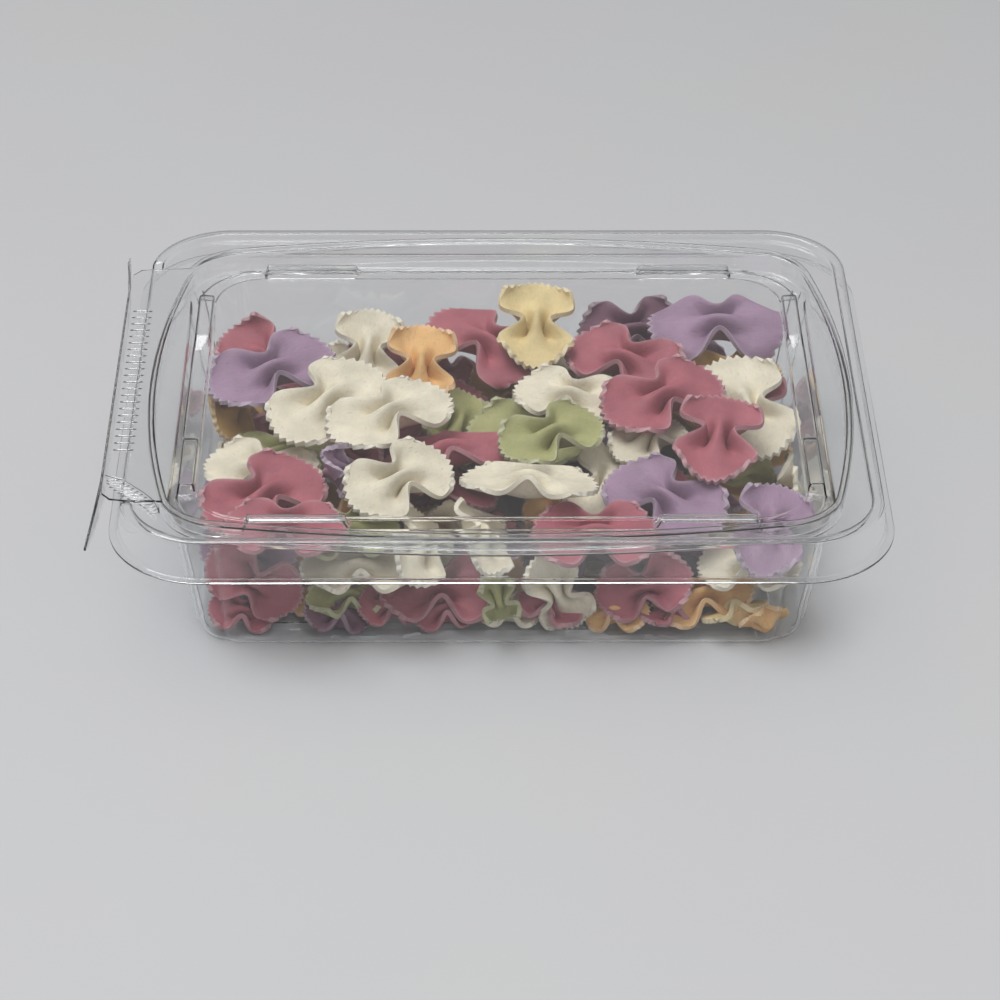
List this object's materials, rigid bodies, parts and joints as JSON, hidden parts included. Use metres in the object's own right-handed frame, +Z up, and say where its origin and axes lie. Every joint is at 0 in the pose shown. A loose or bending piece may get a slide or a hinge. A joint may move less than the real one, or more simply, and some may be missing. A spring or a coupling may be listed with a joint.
{
  "type": "plastic clamshell pack",
  "caption": "Clear shallow hinged food tray with a recessed stacking lid and a tear strip with pull tabs along the hinge, filled with coloured bow-tie pasta.",
  "frame": {"origin": "middle of the foot ring, on the plane the pack stands on", "axes": "+Z up, the hinge and the tear strip on the -X side, the lifting edge on +X, the front on -Y"},
  "size_m": [0.1949, 0.1534, 0.043],
  "materials": {
    "clear_film": null,
    "rose_dough": null,
    "plum_dough": null,
    "lavender_dough": null,
    "cream_dough": null,
    "straw_dough": null,
    "ochre_dough": null,
    "peach_dough": null,
    "sage_dough": null,
    "mixed_dough": null
  },
  "bodies": {
    "base": {"tray": "clear_film", "floor_layer": "mixed_dough", "bow_1": "rose_dough", "bow_2": "cream_dough", "bow_3": "rose_dough", "bow_4": "straw_dough", "bow_5": "plum_dough", "bow_6": "rose_dough", "bow_7": "lavender_dough", "bow_8": "cream_dough", "bow_9": "ochre_dough", "bow_10": "lavender_dough", "bow_11": "peach_dough", "bow_12": "cream_dough", "bow_13": "cream_dough", "bow_14": "sage_dough", "bow_15": "sage_dough", "bow_16": "cream_dough", "bow_17": "rose_dough", "bow_18": "rose_dough", "bow_19": "lavender_dough", "bow_20": "rose_dough", "bow_21": "cream_dough", "bow_22": "cream_dough", "bow_23": "sage_dough", "bow_24": "cream_dough", "bow_25": "lavender_dough", "bow_26": "lavender_dough", "bow_27": "rose_dough", "bow_28": "cream_dough", "bow_29": "peach_dough", "bow_30": "plum_dough", "bow_31": "sage_dough", "bow_32": "rose_dough", "bow_33": "cream_dough", "bow_34": "cream_dough", "bow_35": "rose_dough", "bow_36": "ochre_dough", "bow_37": "rose_dough", "bow_38": "ochre_dough", "bow_39": "cream_dough", "bow_40": "sage_dough", "bow_41": "plum_dough", "bow_42": "rose_dough", "bow_43": "rose_dough", "bow_44": "sage_dough", "bow_45": "cream_dough", "bow_46": "rose_dough", "bow_47": "sage_dough", "bow_48": "cream_dough", "bow_49": "rose_dough", "bow_50": "peach_dough", "bow_51": "straw_dough", "bow_52": "cream_dough", "bow_53": "lavender_dough", "bow_54": "cream_dough", "bow_55": "rose_dough", "bow_56": "cream_dough"},
    "strip": {"tear_strip": "clear_film"},
    "lid": {"lid": "clear_film"}
  },
  "joints": [
    {"name": "strip_fold", "type": "hinge", "parent": "base", "child": "strip", "pos_m": [-0.0972, 0, 0.03345], "axis": [0, -1, 0], "range_deg": [0, 90]},
    {"name": "lid_hinge", "type": "hinge", "parent": "strip", "child": "lid", "pos_m": [-0.0972, 0, 0.04175], "axis": [0, -1, 0], "range_deg": [0, 90]}
  ],
  "couplings": [
    {"joint": "strip_fold", "follows": "lid_hinge", "ratio": 1}
  ]
}
